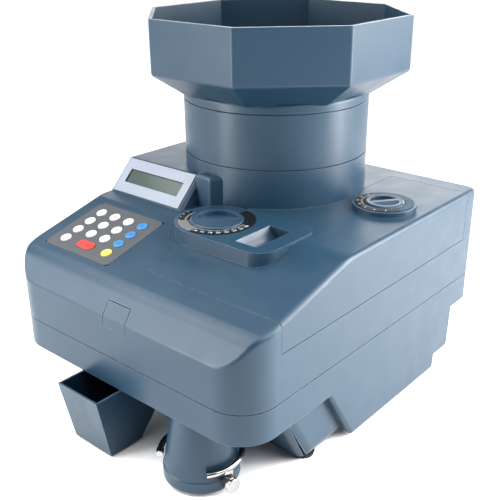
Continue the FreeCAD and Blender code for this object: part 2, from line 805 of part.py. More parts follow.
def key_spots():
    """Keys of the pad: name, u, v and whether the key is the wide one."""
    pitch_x, pitch_v = dim("key_pitch_x"), dim("key_pitch_v")
    spots = []
    number = 1
    for row in range(3):
        for column in range(4):
            spots.append(("key_%02d" % number, (column - 1.5) * pitch_x, (1.5 - row) * pitch_v, False))
            number += 1
    for column, wide in ((0, False), (1.5, True), (3, False)):
        spots.append(("key_%02d" % number, (column - 1.5) * pitch_x, -1.5 * pitch_v, wide))
        number += 1
    return spots


def stadium(half, radius):
    """Outline of a bar with round ends."""
    reach = half + radius
    corner = radius - 0.01
    return [(-reach, -radius, corner), (reach, -radius, corner), (reach, radius, corner), (-reach, radius, corner)]


def make_keypad():
    """Keypad plate with a hole for every key, the keys, and the key board."""
    half_u, half_v = dim("pad_width") / 2, dim("pad_length") / 2
    plate = new_body("keypad_plate")
    face = sketch_on(plate, "XY_Plane")
    outline(face, [(-half_u, -half_v, 6), (half_u, -half_v, 6), (half_u, half_v, 6), (-half_u, half_v, 6)])
    pad(plate, face, "1.2")
    holes = sketch_on(plate, "XY_Plane")
    for name, u, v, wide in key_spots():
        if wide:
            grown = [(x + u, y + v, r) for x, y, r in stadium(6.0, dim("key_radius") + dim("key_play"))]
            outline(holes, grown)
        else:
            circle(holes, u, v, "key_radius + key_play")
    pocket(plate, holes, "5")
    plate.Placement = slope_frame(0, 0, -0.8)
    node("keypad_plate", plate)
    for name, u, v, wide in key_spots():
        make_key(name, u, v, wide)
    board = box("keypad_board", (0, 0, 0), ("pad_width - 12", "pad_length - 10", 1.6))
    board.setExpression("Placement.Base.x", None)
    board.setExpression("Placement.Base.y", None)
    board.setExpression("Placement.Base.z", None)
    board.Placement = slope_frame(-half_u + 6, -half_v + 5, -7.0)
    node("keypad_board", board)


def make_key(name, u, v, wide):
    """One key: a short plunger with a softly rounded cap."""
    body = new_body(name)
    sketch = sketch_on(body, "XY_Plane")
    if wide:
        outline(sketch, stadium(6.0, dim("key_radius")))
    else:
        circle(sketch, 0, 0, "key_radius")
    plunger = pad(body, sketch, "5.2")
    doc.recompute()
    tops = ["Edge%d" % i for i, edge in enumerate(plunger.Shape.Edges, start=1) if edge.BoundBox.ZMin > 5]
    fillet = body.newObject("PartDesign::Fillet", name + "_round")
    fillet.Base = (plunger, tops)
    fillet.Radius = 0.9
    body.Placement = slope_frame(u, v, -3.6)
    node(name, body)


# ---------------------------------------------------------------- knobs


def make_knob(label, knob, top, heading, shaft_low):
    """Round knob with a finger bar between two sloping hollows, sunk in its cup, on a shaft."""
    x, y = knob + "_x", "front_y + %s_back" % knob
    low = "%s - knob_sunk" % top
    radius, height = dim(knob + "_radius"), dim(knob + "_height")
    profile = [(0, 0), (radius, 0), (radius, height - 1.6, 1.2), (radius - 2.0, height, 2.0), (radius - 4.5, height - 0.3),
               (0, height - 0.3)]
    dial = turned(label + "_dial", profile, x, y, low)
    turn = Rotation(Vector(0, 0, 1), heading)
    floor = height - 5.4
    scoops = []
    for side in (-1, 1):
        reach = side * radius
        section = [(side * 2.2, height), (side * radius * 0.5, floor), (reach, floor), (reach, height + 3),
                   (side * 2.2, height + 3)]
        name = "%s_scoop_%d" % (label, side + 1)
        slab = place(prism(name + "_slab", "YZ_Plane", section, -radius, repr(2 * radius)), x, y, low, turn)
        disc = rod(name + "_disc", (x, y, low), "%s_radius - knob_rim" % knob, height + 4)
        scoops.append(common(name, disc, slab))
    shaft = rod(label + "_shaft", (x, y, shaft_low), "knob_shaft", "%s - %s + 1" % (low, shaft_low))
    node(label, fuse(label, cut(label + "_cut", dial, *scoops), shaft))


def make_knobs():
    """Both setting knobs and the scale rings printed round them."""
    for name, knob, top, heading, shaft_low, outside in (
            ("diameter", "dial", "plateau_z + pedestal_rise", 40, "172", 40.0),
            ("thickness", "gauge", "plateau_z + boss_height", 55, "178", 31.0)):
        make_knob(name + "_knob", knob, "(%s)" % top, heading, shaft_low)
        ring = ring_profile(dim(knob + "_radius") + dim("cup_gap") + 0.2, outside, 0, dim("scale_thick"))
        node(name + "_scale", turned(name + "_scale", ring, knob + "_x", "front_y + %s_back" % knob, top))


# ---------------------------------------------------------------- spout, bag clamp, reject box


def make_spout():
    """Coin outlet spout: flared tube with a thicker lip."""
    neck, tube, wall = dim("spout_neck"), dim("spout_radius"), dim("spout_wall")
    top, low = dim("apron_z") + dim("shell"), dim("foot_z")
    seat = dim("apron_z") - 0.3
    profile = [(tube - wall - 1, low), (tube + 1, low, 0.6), (tube + 1, 15, 0.6), (tube, 16),
               (dim("spout_top"), seat), (neck, seat), (neck, top), (neck - wall, top), (neck - wall, seat - 3),
               (tube - wall - 1, 22)]
    node("outlet_spout", turned("outlet_spout", profile, "spout_x", "front_y + spout_back"))


def make_clamp():
    """Bag clamp: a sprung rod round the spout with a lug for its thumb screw."""
    first, last = -39.0, 222.0
    radius, rod_r = dim("clamp_radius"), dim("clamp_rod")
    ring = doc.addObject("Part::Torus", "clamp_torus")
    bind(ring, "Radius1", "clamp_radius")
    bind(ring, "Radius2", "clamp_rod")
    ring.Angle3 = last - first
    place(ring, "spout_x", "front_y + spout_back", "clamp_z", Rotation(Vector(0, 0, 1), first))
    turn = Rotation(Vector(0, 0, 1), -10)
    centre = Vector(dim("spout_x"), back(dim("spout_back")), 0)
    lug = doc.addObject("Part::Box", "clamp_lug")
    lug.Length, lug.Width, lug.Height = 5, 9, dim("clamp_z") - dim("screw_z") + 5
    lug.Placement = Placement(centre + turn.multVec(Vector(radius - 1.2, -4.5, dim("screw_z") - 5)), turn)
    along = turn * ALONG_X
    bore = doc.addObject("Part::Cylinder", "clamp_bore")
    bore.Radius, bore.Height = 2.55, 20
    bore.Placement = Placement(centre + turn.multVec(Vector(radius - 8, 0, dim("screw_z"))), along)
    screw = turned("thumb_screw", [(0, 0), (2.5, 0), (2.5, 8.5), (7.5, 8.5), (7.5, 12.5, 0.8), (0, 12.5)], None)
    screw.Placement = Placement(centre + turn.multVec(Vector(radius - 1.4, 0, dim("screw_z"))), along)
    node("thumb_screw", screw)
    end = Rotation(Vector(0, 0, 1), last).multVec(Vector(radius, 0, 0)) + centre
    knob = turned("clamp_end_knob", [(0, -4.5), (3.7, -4.5, 0.8), (3.7, 4.5, 0.8), (0, 4.5)], None)
    out = Rotation(Vector(0, 0, 1), last + 90).multVec(Vector(1, 0, 0))
    knob.Placement = Placement(end + out * 3 + Vector(0, 0, dim("clamp_z")), Rotation(Vector(0, 0, 1), out))
    node("bag_clamp", cut("bag_clamp", fuse("clamp_whole", ring, lug, knob), bore))


def make_reject_box():
    """Tapered box for rejected coins, hung by its side lips on two rails."""
    left, right = dim("box_left"), dim("box_right")
    front, rear = back(dim("box_front_back")), back(dim("box_rear_back"))
    low_front, low_rear = back(-16), back(24)
    wall, low, top = dim("box_wall"), dim("foot_z") - 2, dim("box_z")
    outer = wedge("reject_outer", (left + 2, right - 1, low_front, low_rear), low, (left, right, front, rear), top)
    room = wedge("reject_room", (left + 2 + wall, right - 1 - wall, low_front + wall, low_rear - wall), low + wall,
                 (left + wall, right - wall, front + wall, rear - wall), top + 0.01)
    lips = [box("reject_lip_%d" % i, (x, back(8), top - 1.8), (3.5, "box_rear_back - 8", 1.8))
            for i, x in enumerate((left - 3, right - 0.5))]
    node("reject_box", cut("reject_box", fuse("reject_whole", outer, *lips), room))
    rails = []
    for side, edge in ((-1, left - 3.4), (1, right + 3.4)):
        upright = box("rail_upright_%d" % (side + 1), (edge - 2.2 if side < 0 else edge, back(8), 66),
                      (2.2, 66, dim("apron_z") - 66))
        foot = box("rail_foot_%d" % (side + 1), (edge - 2.2 if side < 0 else edge - 2.4, back(8), 66),
                   (4.6, 66, 1.8))
        rails.append(fuse("rail_%d" % (side + 1), upright, foot))
    node("box_rails", group("box_rails", *rails))


# ---------------------------------------------------------------- mechanism


def make_deck():
    """Deck plate with its holes, posts, the steel track and its fixed fence."""
    top = "deck_z + deck_thick"
    body = new_body("coin_deck")
    face = sketch_on(body, "XY_Plane", dim("deck_z"))
    outline(face, [(-150, back(10), 30), (150, back(10), 30), (150, 150, 10), (-150, 150, 10)])
    circle(face, "hopper_x", "hopper_y", "disc_shaft + 2")
    circle(face, "spout_x", "front_y + spout_back + 4", 20)
    circle(face, 94, -94, 4)
    outline(face, [(36, back(66)), (58, back(66)), (58, back(96)), (36, back(96))])
    pad(body, face, "deck_thick")
    node("coin_deck", body)
    posts = [rod("post_%d" % i, (x, y, low), 5, "deck_z - %s" % low)
             for i, (x, y, low) in enumerate(((-138, -60, 75.3), (140, -158, 75.3), (-138, 120, 7), (138, 120, 7)))]
    node("deck_posts", group("deck_posts", *posts))
    track = box("track_plate", (61, back(50), top), (45, 210, 1))
    window = rod("track_window", (94, -94, 150), 4, 10)
    drop = rod("track_drop", ("spout_x", "front_y + spout_back + 4", 150), 20, 10)
    fence = box("track_fence", (106, back(55), top), (5, 260, 2.8))
    node("coin_track", cut("coin_track", fuse("track_whole", track, fence), window, drop))


def make_feed():
    """Feed disc on its shaft, the bowl round it, the bearing and the pulleys."""
    top = dim("deck_z") + dim("deck_thick")
    disc_r, shaft = dim("disc_radius"), dim("disc_shaft")
    disc = [(0, 1), (disc_r, 1), (disc_r, 5), (30, 5), (26, 12, 6), (0, 18)]
    node("feed_disc", turned("feed_disc", disc, "hopper_x", "hopper_y", top))
    spindle = rod("disc_spindle", ("hopper_x", "hopper_y", "pulley_z - 4"), "disc_shaft",
                  "deck_z + deck_thick + 1 - pulley_z + 4")
    bowl_r = dim("neck_radius") - dim("neck_wall") - 4.5
    bowl = turned("bowl_tube", ring_profile(bowl_r - 3, bowl_r, 0, 84), "hopper_x", "hopper_y", top)
    exit_notch = box("bowl_exit", (40, 56, top - 1), (40, 64, 14))
    node("feed_bowl", cut("feed_bowl", bowl, exit_notch))
    gap = dim("running_gap")
    bearing = [(shaft + gap, 0), (18, 0), (18, 16), (28, 16), (28, 20), (shaft + gap, 20)]
    node("disc_bearing", turned("disc_bearing", bearing, "hopper_x", "hopper_y", "deck_z - 20"))
    thick = dim("pulley_thick")
    wheel = turned("disc_wheel", pulley_profile(dim("disc_pulley"), shaft, thick), "hopper_x", "hopper_y", "pulley_z")
    node("disc_pulley", fuse("disc_pulley", wheel, spindle))
    wheel = turned("motor_wheel", pulley_profile(dim("motor_pulley"), 4.0, thick), "motor_x", "motor_y", "pulley_z")
    node("motor_pulley", fuse("motor_pulley", wheel, rod("motor_spindle", ("motor_x", "motor_y", 95), 4, 31)))
    motor_r = dim("motor_radius")
    motor = [(0, 12), (motor_r, 12, 3), (motor_r, 90, 3), (12, 90), (12, 98), (4 + gap, 98), (4 + gap, 94), (0, 94)]
    node("drive_motor", turned("drive_motor", motor, "motor_x", "motor_y"))


def pulley_profile(radius, bore, thick):
    """Belt pulley with a flange at each side."""
    return [(bore, 0), (radius + 3, 0), (radius + 3, 1.5), (radius, 2.5), (radius, thick - 2.5),
            (radius + 3, thick - 1.5), (radius + 3, thick), (bore, thick)]


def belt_points(first, second, first_r, second_r, count=24):
    """Open belt round two circles: points on both arcs, anticlockwise."""
    reach = second - first
    lean = math.acos((first_r - second_r) / reach.Length)
    heading = math.atan2(reach.y, reach.x)
    points = []
    for centre, radius, start, sweep in (
            (first, first_r, heading + lean, 2 * math.pi - 2 * lean),
            (second, second_r, heading - lean, 2 * lean)):
        for i in range(count + 1):
            angle = start + sweep * i / count
            points.append(centre + Vector(math.cos(angle), math.sin(angle), 0) * radius)
    return points


def belt_face(first, second, first_r, second_r):
    """Flat face inside a belt line, made of two tangent arcs and two straight runs."""
    points = belt_points(first, second, first_r, second_r, 2)
    edges = []
    for i in (0, 3):
        edges.append(Part.Arc(points[i], points[i + 1], points[i + 2]).toShape())
        edges.append(Part.LineSegment(points[i + 2], points[(i + 3) % 6]).toShape())
    return Part.Face(Part.Wire(edges))


def make_belts():
    """Drive belt from the motor to the disc, and the transport belt over the track."""
    clear, thick = 0.3, 1.5
    motor = Vector(dim("motor_x"), dim("motor_y"), 0)
    hub = Vector(dim("hopper_x"), dim("hopper_y"), 0)
    small, large = dim("motor_pulley") + clear, dim("disc_pulley") + clear
    outer = belt_face(hub, motor, large + thick, small + thick)
    inner = belt_face(hub, motor, large, small)
    belt = doc.addObject("Part::Feature", "drive_belt")
    belt.Shape = outer.cut(inner).extrude(Vector(0, 0, dim("pulley_thick") - 6))
    belt.Placement = Placement(Vector(0, 0, dim("pulley_z") + 3), Rotation())
    node("drive_belt", belt)
    front, rear = Vector(dim("roller_front_y"), 0, 0), Vector(dim("roller_rear_y"), 0, 0)
    reach = dim("roller_radius") + clear
    outer = belt_face(front, rear, reach + thick, reach + thick)
    inner = belt_face(front, rear, reach, reach)
    belt = doc.addObject("Part::Feature", "transport_belt")
    belt.Shape = outer.cut(inner).extrude(Vector(0, 0, 10))
    belt.Placement = Placement(Vector(84, 0, dim("roller_z")), Rotation(Vector(1, 1, 1), 120))
    node("transport_belt", belt)


def make_transport():
    """Rollers over the track, the frame that holds them, and the coin sensor."""
    for name, level in (("transport_roller_front", "roller_front_y"), ("transport_roller_rear", "roller_rear_y")):
        drum = rod(name + "_drum", (76, level, "roller_z"), "roller_radius", 26, ALONG_X)
        axle = rod(name + "_axle", (70, level, "roller_z"), "roller_axle", 47, ALONG_X)
        node(name, fuse(name, drum, axle))
    plates = [box("frame_left", (71.5, -132, 163), (3, 204, 14)),
              box("frame_right", (113, -132, "deck_z + deck_thick"), (3, 204, 23)),
              box("frame_bar_front", (73, -60, 165), (41, 8, 9)),
              box("frame_bar_rear", (73, 22, 165), (41, 8, 9))]
    bores = [rod("frame_bore_%d" % i, (60, level, "roller_z"), "roller_axle + running_gap", 70, ALONG_X)
             for i, level in enumerate(("roller_front_y", "roller_rear_y"))]
    node("roller_frame", cut("roller_frame", fuse("frame_whole", *plates), *bores))
    node("coin_sensor", fuse("coin_sensor", box("sensor_body", (82, -106, 136), (24, 24, 14)),
                             rod("sensor_eye", (94, -94, 149), 3.5, 4)))


def make_settings():
    """Sliding diameter rail with its link, and the thickness gate."""
    low = dim("deck_z") + dim("deck_thick") + 1.3
    plate = box("rail_plate", (52, -135, low), (30, 150, 2.2))
    riser = box("rail_riser", (52, -64, low), (6, 11, 167 - low))
    link = box("rail_link", (0, -64, 164), (58, 11, 3))
    node("diameter_rail", fuse("diameter_rail", plate, riser, link))
    gate = box("gate_plate", (70, 84, 158.8), (52, 6, 11))
    lug = rod("gate_lug", ("gauge_x", "front_y + gauge_back", 165), 7, 9)
    node("thickness_gate", fuse("thickness_gate", gate, lug))


def make_chutes():
    """Chute from the off-sort slot to the reject box, and the tube down to the spout."""
    low, high = dim("apron_z") + dim("shell"), dim("deck_z")
    outer = wedge("chute_outer", (-48, -10, back(7), back(37)), low, (34, 60, back(64), back(98)), high)
    room = wedge("chute_room", (-46, -12, back(9), back(35)), low - 0.01, (36, 58, back(66), back(96)), high + 0.01)
    node("offsort_chute", cut("offsort_chute", outer, room))
    length = dim("deck_z") - dim("apron_z") - dim("shell")
    node("outlet_tube", turned("outlet_tube", ring_profile(20, 22, 0, length), "spout_x",
                               "front_y + spout_back + 4", "apron_z + shell"))


def make_electrics():
    """Transformer, main board, mains inlet and switch."""
    core = box("transformer_core", (-136, 30, 7), (64, 52, 56))
    coil = box("transformer_coil", (-126, 18, 15), (44, 76, 40))
    node("transformer", fuse("transformer", core, coil))
    board = box("board_plate", (-148, -176, 82), (84, 96, 1.6))
    chips = [box("board_part_%d" % i, (x, y, 83), (dx, dy, dz)) for i, (x, y, dx, dy, dz) in enumerate(
        ((-140, -165, 22, 22, 4), (-108, -160, 30, 12, 8), (-138, -120, 16, 30, 14), (-100, -118, 24, 24, 6)))]
    legs = [rod("board_leg_%d" % i, (x, y, "apron_z + shell"), 3, "82 - apron_z - shell")
            for i, (x, y) in enumerate(((-140, -140), (-72, -168), (-72, -88), (-140, -88)))]
    node("main_board", fuse("main_board", board, *chips, *legs))
    rear = back(dim("body_depth"))
    inlet = box("inlet_body", (-116, rear - 18, 79), (28, 18.6, 21))
    mouth = box("inlet_mouth", (-113, rear - 13, 82), (22, 20, 15))
    pins = [box("inlet_pin_%d" % i, (x, rear - 14, z), (2, 11, 4)) for i, (x, z) in enumerate(
        ((-110, 87), (-96, 87), (-103, 91)))]
    frame = box("switch_frame", (-76, rear - 14, 81), (22, 14.8, 16))
    bay = box("switch_bay", (-73.5, rear - 9, 83), (17, 20, 12))
    bridge = box("inlet_bridge", (-90, rear - 14, 83), (16, 8, 12))
    node("power_inlet", fuse("power_inlet", cut("inlet_shell", inlet, mouth), cut("switch_housing", frame, bay),
                             bridge, *pins))
    cap = prism("rocker_cap", "XY_Plane", [(-7.6, -2), (7.6, -2), (7.6, 1.4), (0, 0.2), (-7.6, 3.4)], -5.6, "11.2")
    place(cap, -65, rear, 89)
    barrel = rod("rocker_barrel", (-65, rear, 83.4), 3.5, 11.2)
    tip = box("rocker_tip", (-70, rear, 83), (10, 6, 12))
    node("power_rocker", fuse("power_rocker", cap, cut("rocker_pivot", barrel, tip)))


def make_screws():
    """Screws that hold the base to the cover, seen from below."""
    spots = ((-150, -150), (150, -150), (-150, 185), (150, 185))
    screws = []
    for i, (x, y) in enumerate(spots):
        head = rod("screw_head_%d" % i, (x, y, "apron_z - 2"), 3.2, 2)
        shank = rod("screw_shank_%d" % i, (x, y, "apron_z"), 1.6, 16)
        screws.append(fuse("screw_%d" % i, head, shank))
    node("case_screws", group("case_screws", *screws))


# ---------------------------------------------------------------- build and export


def check_and_export():
    """Stop on any failed object, then write each sub-part's shape to its own file."""
    doc.recompute()
    failed = [item.Label for item in doc.Objects if "Invalid" in item.State or "Error" in item.State]
    for label, item in NODES.items():
        shape = item.Shape
        if shape.isNull() or not shape.isValid() or not shape.Solids:
            failed.append(label)
    if failed:
        raise RuntimeError("failed objects: " + ", ".join(failed))
    os.makedirs("parts", exist_ok=True)
    for label, item in NODES.items():
        shape = item.Shape.translated(Vector(dim("origin_shift"), 0, 0))
        shape.exportStep("parts/%s.step" % label)
        print("%-24s volume %10.0f mm3, solids %d" % (label, item.Shape.Volume, len(item.Shape.Solids)))
    print(len(NODES), "sub-parts")


make_base()
make_feet()
OUTER, INNER = make_shell()
make_door(OUTER, INNER)
make_cover(OUTER, INNER)
make_latch(OUTER, INNER)
make_hinge_pins()
make_hopper()
make_display()
make_keypad()
make_knobs()
make_spout()
make_clamp()
make_reject_box()
make_deck()
make_feed()
make_belts()
make_transport()
make_settings()
make_chutes()
make_electrics()
make_screws()
check_and_export()
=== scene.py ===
"""Looks of the coin sorting machine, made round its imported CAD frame. Metres throughout."""

import json
import math

import bmesh
import bpy
from mathutils import Matrix, Vector


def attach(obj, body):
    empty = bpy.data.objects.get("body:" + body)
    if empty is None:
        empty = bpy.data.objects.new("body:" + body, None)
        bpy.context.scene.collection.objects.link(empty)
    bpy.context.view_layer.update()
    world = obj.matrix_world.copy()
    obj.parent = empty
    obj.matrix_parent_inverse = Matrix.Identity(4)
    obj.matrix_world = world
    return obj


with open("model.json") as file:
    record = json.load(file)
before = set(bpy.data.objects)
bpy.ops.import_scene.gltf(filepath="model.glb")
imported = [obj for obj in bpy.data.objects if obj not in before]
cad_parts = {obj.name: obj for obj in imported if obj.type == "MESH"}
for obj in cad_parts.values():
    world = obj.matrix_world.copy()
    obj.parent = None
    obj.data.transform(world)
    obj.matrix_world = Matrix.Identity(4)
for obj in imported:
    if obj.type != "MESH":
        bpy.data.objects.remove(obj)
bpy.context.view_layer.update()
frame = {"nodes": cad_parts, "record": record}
nodes = frame["nodes"]

# ---------------------------------------------------------------- camera, floor, lights

CAMERA_PLACE = Vector((0.5178, -0.5966, 0.4914))
CAMERA_AZIMUTH = math.radians(40.72)
CAMERA_ELEVATION = math.radians(23.1)
CAMERA_ROLL = math.radians(-0.39)
LENS_MM = 55.9


def make_camera():
    data = bpy.data.cameras.new("camera")
    data.lens = LENS_MM
    data.sensor_width = 36.0
    data.clip_start, data.clip_end = 0.01, 100.0
    camera = bpy.data.objects.new("camera", data)
    bpy.context.scene.collection.objects.link(camera)
    backward = Vector((math.sin(CAMERA_AZIMUTH) * math.cos(CAMERA_ELEVATION),
                       -math.cos(CAMERA_AZIMUTH) * math.cos(CAMERA_ELEVATION),
                       math.sin(CAMERA_ELEVATION)))
    right = Vector((0, 0, 1)).cross(backward).normalized()
    up = backward.cross(right)
    turn = Matrix.Rotation(CAMERA_ROLL, 3, backward)
    right, up = turn @ right, turn @ up
    camera.matrix_world = Matrix((
        (right.x, up.x, backward.x, CAMERA_PLACE.x),
        (right.y, up.y, backward.y, CAMERA_PLACE.y),
        (right.z, up.z, backward.z, CAMERA_PLACE.z),
        (0, 0, 0, 1)))
    bpy.context.scene.camera = camera


def softbox(name, place, aim, width, height, watts, tint=(1, 1, 1)):
    """Rectangular studio light that shines towards aim."""
    data = bpy.data.lights.new(name, "AREA")
    data.shape = "RECTANGLE"
    data.size, data.size_y = width, height
    data.energy = watts
    data.color = tint
    light = bpy.data.objects.new(name, data)
    bpy.context.scene.collection.objects.link(light)
    light.location = place
    light.rotation_mode = "QUATERNION"
    light.rotation_quaternion = (Vector(aim) - Vector(place)).to_track_quat("-Z", "Y")
    light.visible_camera = False


def make_lights():
    softbox("softbox_left", (-1.25, -1.35, 0.80), (0, 0, 0.2), 0.9, 0.9, 14)
    softbox("strip_left", (-0.47, -1.10, 0.28), (0, 0, 0.25), 0.22, 0.6, 10)
    softbox("softbox_right", (1.00, 0.85, 0.60), (0.1, 0.05, 0.15), 0.8, 0.8, 27)
    softbox("strip_right", (0.98, 0.60, 0.28), (0, 0, 0.25), 0.2, 0.6, 11)
    softbox("softbox_top", (-0.65, -0.25, 1.2), (0, 0, 0.1), 0.8, 0.8, 10)
    softbox("floor_right", (0.58, 0.12, 0.55), (0.58, 0.12, 0.0), 0.5, 0.7, 10)
    softbox("floor_front", (-0.22, -0.50, 0.55), (-0.22, -0.50, 0.0), 0.5, 0.4, 3.5)
    make_world()
    bpy.context.scene.view_settings.view_transform = "Standard"


CEILING_GLOW, HORIZON_GLOW, FAINT_GLOW = 3.6, 6.0, 0.06
HORIZON_HEADING = 106
CAMERA_HEADING = -49.3


def make_world():
    """Bright ceiling and a bright band round the horizon, dark between them and towards the camera."""
    world = bpy.data.worlds.new("studio")
    bpy.context.scene.world = world
    world.use_nodes = True
    tree = world.node_tree
    heading = tree.nodes.new("ShaderNodeTexCoord").outputs["Generated"]
    parts = tree.nodes.new("ShaderNodeSeparateXYZ")
    tree.links.new(heading, parts.inputs[0])

    def along(degrees):
        """Cosine of the angle between a direction and a level heading."""
        made = tree.nodes.new("ShaderNodeVectorMath")
        made.operation = "DOT_PRODUCT"
        tree.links.new(heading, made.inputs[0])
        made.inputs[1].default_value = (math.cos(math.radians(degrees)), math.sin(math.radians(degrees)), 0)
        return made.outputs["Value"]

    def span(value, start, end, low, high):
        made = tree.nodes.new("ShaderNodeMapRange")
        tree.links.new(value, made.inputs["Value"])
        for name, number in (("From Min", start), ("From Max", end), ("To Min", low), ("To Max", high)):
            made.inputs[name].default_value = number
        return made.outputs["Result"]

    def join(kind, first, second):
        made = tree.nodes.new("ShaderNodeMath")
        made.operation = kind
        for socket, value in zip(made.inputs, (first, second)):
            if isinstance(value, float):
                socket.default_value = value
            else:
                tree.links.new(value, socket)
        return made.outputs[0]

    ceiling = span(parts.outputs["Z"], 0.85, 0.93, 0.0, CEILING_GLOW)
    low_band = span(parts.outputs["Z"], 0.32, 0.46, HORIZON_GLOW, 0.0)
    band = join("MULTIPLY", low_band, span(along(HORIZON_HEADING), 0.82, 0.975, 0.35, 1.0))
    away = span(along(CAMERA_HEADING), 0.0, 0.6, 1.0, 0.0)
    glow = join("ADD", join("ADD", ceiling, join("MULTIPLY", band, away)), FAINT_GLOW)
    shade = tree.nodes["Background"]
    shade.inputs["Color"].default_value = (0.97, 0.985, 1.0, 1)
    tree.links.new(glow, shade.inputs["Strength"])


# ---------------------------------------------------------------- materials


class Surface:
    """Node material built on one Principled shader, with object coordinates for every texture."""

    def __init__(self, name, roughness=0.4, metallic=0.0):
        self.material = bpy.data.materials.new(name)
        self.material.use_nodes = True
        self.tree = self.material.node_tree
        self.shader = self.tree.nodes["Principled BSDF"]
        self.shader.inputs["Roughness"].default_value = roughness
        self.shader.inputs["Metallic"].default_value = metallic
        self.shader.inputs["Specular IOR Level"].default_value = 0.33
        self.place = self.add("ShaderNodeTexCoord").outputs["Object"]

    def add(self, kind, **inputs):
        made = self.tree.nodes.new(kind)
        for name, value in inputs.items():
            self.put(made.inputs[name.replace("_", " ")], value)
        return made

    def put(self, socket, value):
        if isinstance(value, bpy.types.NodeSocket):
            self.tree.links.new(value, socket)
        else:
            socket.default_value = value

    def noise(self, scale, detail=2.0, stretch=(1, 1, 1)):
        where = self.add("ShaderNodeMapping", Vector=self.place, Scale=stretch)
        made = self.add("ShaderNodeTexNoise", Vector=where.outputs["Vector"], Scale=scale, Detail=detail)
        return made.outputs["Fac"]

    def span(self, value, low, high, start=0.3, end=0.7):
        made = self.add("ShaderNodeMapRange", Value=value, From_Min=start, From_Max=end,
                        To_Min=low, To_Max=high)
        return made.outputs["Result"]

    def mix(self, fac, first, second):
        made = self.tree.nodes.new("ShaderNodeMix")
        made.data_type = "RGBA"
        self.put(made.inputs["Factor"], fac)
        self.put(made.inputs[6], first)
        self.put(made.inputs[7], second)
        return made.outputs[2]

    def edges(self, radius, amount):
        """Mask that is above zero along sharp edges, broken up by noise; it pales the edges, partly as wear
        and partly as painted highlight.
        """
        bevel = self.tree.nodes.new("ShaderNodeBevel")
        bevel.samples = 4
        bevel.inputs["Radius"].default_value = radius
        normal = self.add("ShaderNodeNewGeometry").outputs["Normal"]
        dot = self.tree.nodes.new("ShaderNodeVectorMath")
        dot.operation = "DOT_PRODUCT"
        self.tree.links.new(bevel.outputs["Normal"], dot.inputs[0])
        self.tree.links.new(normal, dot.inputs[1])
        wear_and_sheen = self.span(dot.outputs["Value"], amount, 0.0, 0.80, 0.995)
        spots = self.span(self.noise(180, 3), 0.3, 1.0)
        product = self.tree.nodes.new("ShaderNodeMath")
        product.operation = "MULTIPLY"
        self.tree.links.new(wear_and_sheen, product.inputs[0])
        self.tree.links.new(spots, product.inputs[1])
        return product.outputs["Value"]

    def clear(self, distance):
        """Ambient-occlusion mask that falls to zero inside seams and narrow grooves; it sets where shade is
        painted.
        """
        near = self.tree.nodes.new("ShaderNodeAmbientOcclusion")
        near.samples = 8
        near.inputs["Distance"].default_value = distance
        return self.span(near.outputs["AO"], 0.0, 1.0, 0.30, 0.62)

    def bump(self, height, distance, strength):
        made = self.add("ShaderNodeBump", Height=height, Distance=distance, Strength=strength)
        self.tree.links.new(made.outputs["Normal"], self.shader.inputs["Normal"])


def rgb(red, green, blue):
    return (red, green, blue, 1.0)


def scaled(colour, factor):
    return rgb(*(min(1.0, part * factor) for part in colour[:3]))


def moulded(name, colour, roughness, grain=0.00002, wear_and_sheen=None, edge=0.55, span=0.06):
    """Injection-moulded plastic: fine spark texture, uneven gloss and faint flow marks; given an edge tone,
    also paler edges (partly wear, partly painted highlight) and painted shade in seams and grooves.
    """
    made = Surface(name, roughness)
    cloudy = made.noise(9, 3)
    tone = made.mix(made.span(cloudy, 0, 1), scaled(colour, 0.94), scaled(colour, 1.06))
    if wear_and_sheen is not None:
        # Paler edges: partly wear, partly a painted highlight along every sharp edge.
        tone = made.mix(made.edges(0.0009, edge), tone, wear_and_sheen)
        # Painted shade: seams and narrow grooves are darkened to a tenth of the colour and lose most of their
        # shine.
        open_to_light = made.clear(0.003)
        tone = made.mix(open_to_light, scaled(colour, 0.10), tone)
        made.put(made.shader.inputs["Specular IOR Level"], made.span(open_to_light, 0.03, 0.33, 0.0, 1.0))
    made.put(made.shader.inputs["Base Color"], tone)
    gloss = made.span(made.noise(38, 4), roughness - span / 2, roughness + span)
    made.put(made.shader.inputs["Roughness"], gloss)
    made.bump(made.noise(2400, 2), grain, 0.6)
    return made


def metal(name, colour, roughness, brushed=(1, 1, 1), grain=0.00001, scale=900):
    """Metal with fine streaks in its gloss and slight staining."""
    made = Surface(name, roughness, 1.0)
    stain = made.span(made.noise(25, 4), 0, 1)
    made.put(made.shader.inputs["Base Color"], made.mix(stain, scaled(colour, 0.86), colour))
    streak = made.noise(scale, 3, brushed)
    made.put(made.shader.inputs["Roughness"], made.span(streak, roughness * 0.75, roughness * 1.35))
    made.bump(streak, grain, 0.4)
    return made


SLATE = rgb(0.0112, 0.0335, 0.0590)
# Pale edge tone for the slate plastic: partly wear, partly painted highlight.
SLATE_WEAR_AND_SHEEN = rgb(0.24, 0.32, 0.41)


